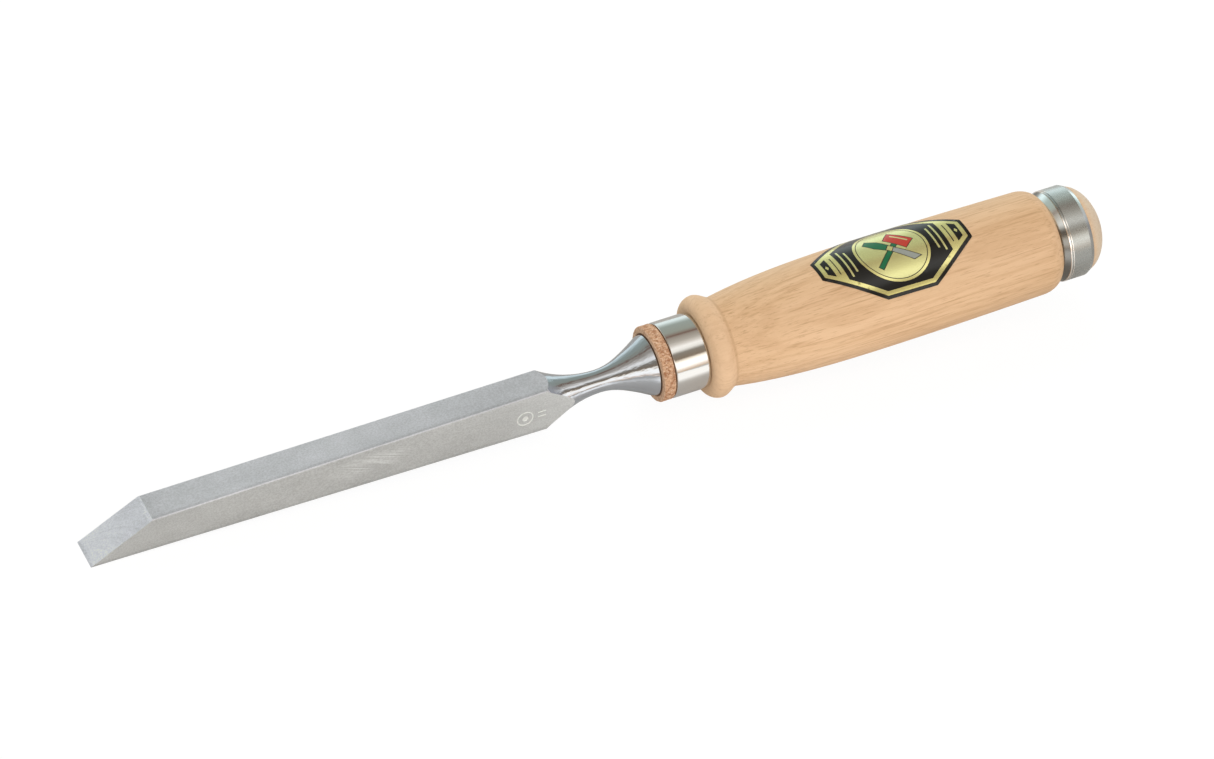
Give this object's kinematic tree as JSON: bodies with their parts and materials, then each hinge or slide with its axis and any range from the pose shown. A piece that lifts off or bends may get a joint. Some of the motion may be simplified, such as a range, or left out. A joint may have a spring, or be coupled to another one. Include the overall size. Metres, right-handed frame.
{
  "type": "bench chisel",
  "caption": "Mortise-pattern bench chisel: thick tapered steel blade, flared bolster, leather washer, ferrule and a turned wooden handle with a striking hoop.",
  "frame": {"origin": "middle of the cutting edge", "axes": "+X along the tool from the cutting edge to the striking end, +Z towards the bevel side, flat back facing -Z"},
  "size_m": [0.3035, 0.031, 0.0312],
  "materials": {
    "blade_steel": "satin ground on the faces, polished on the neck",
    "washer_leather": "raw cut vegetable-tanned leather",
    "ferrule_nickel": "bright nickel plate",
    "handle_wood": "fine sanded hornbeam under thin clear lacquer",
    "hoop_steel": "satin turned",
    "label_foil": "glossy printed foil in black and gold"
  },
  "bodies": {
    "root": {"blade": "blade_steel", "leather_washer": "washer_leather", "ferrule": "ferrule_nickel", "handle": "handle_wood", "striking_hoop": "hoop_steel", "label": "label_foil"}
  },
  "joints": []
}
